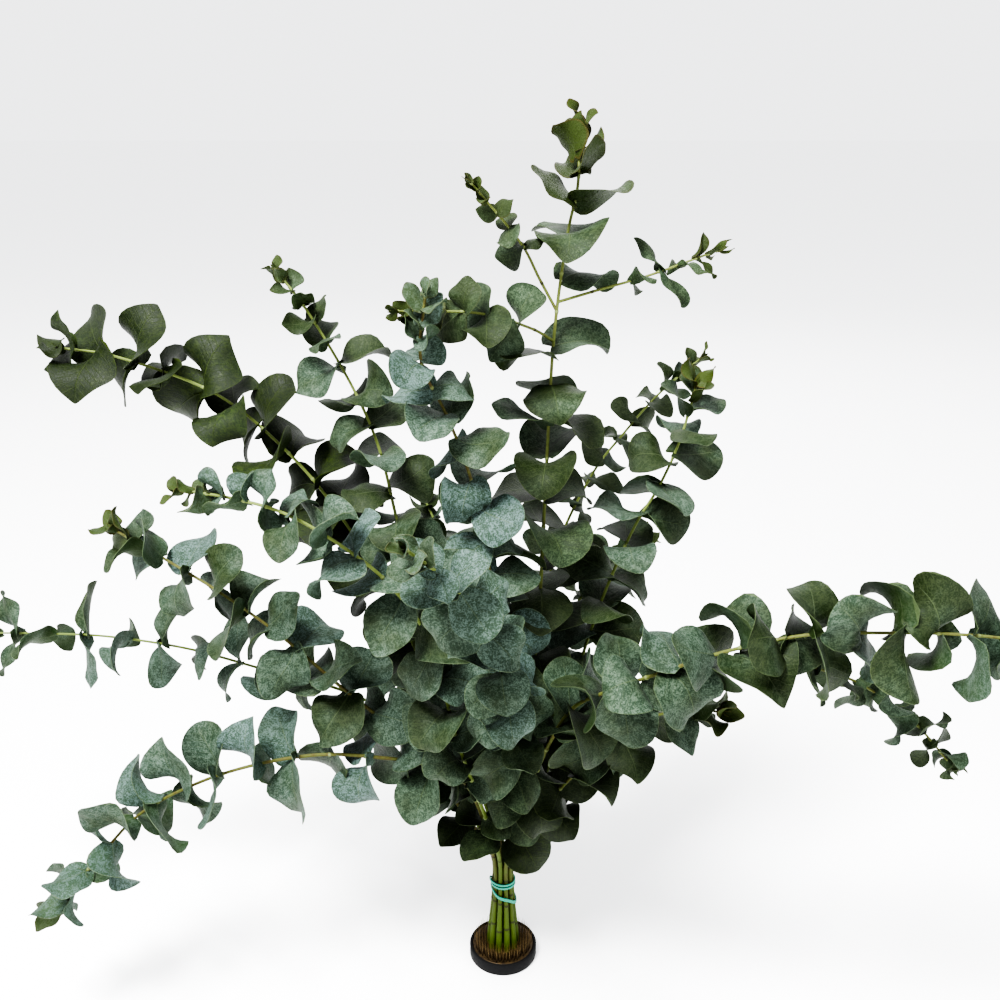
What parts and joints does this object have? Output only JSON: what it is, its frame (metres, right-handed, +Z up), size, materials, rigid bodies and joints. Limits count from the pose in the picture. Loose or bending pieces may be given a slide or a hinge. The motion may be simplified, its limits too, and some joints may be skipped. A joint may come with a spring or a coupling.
{
  "type": "bunch of eucalyptus stems in a pin holder",
  "caption": "Loose bunch of round-leaved eucalyptus stems, tied with a rubber band above the feet and standing upright in a round pin holder with a rubber ring.",
  "frame": {"origin": "middle of the pin holder's flat underside, on the surface that it stands on", "axes": "+Z up; the pictured side faces -Y, with +X to the right in the picture"},
  "size_m": [0.9415, 0.5317, 0.8033],
  "materials": {
    "foliage": "matte, blue-green with a pale waxy bloom",
    "pin_brass": "aged, brown",
    "black_rubber": "matte",
    "teal_rubber": "satin"
  },
  "bodies": {
    "root": {"stem_tall": "foliage", "stem_upper_left": "foliage", "stem_far_left": "foliage", "stem_mid_left": "foliage", "stem_left": "foliage", "stem_thin_left": "foliage", "stem_low_left": "foliage", "stem_front": "foliage", "stem_upright": "foliage", "stem_right_up": "foliage", "stem_right_back": "foliage", "stem_right": "foliage", "stem_low_right": "foliage", "stem_back_right": "foliage", "stem_back_left": "foliage", "pin_holder": "pin_brass", "rubber_ring": "black_rubber", "rubber_band": "teal_rubber"}
  },
  "joints": []
}
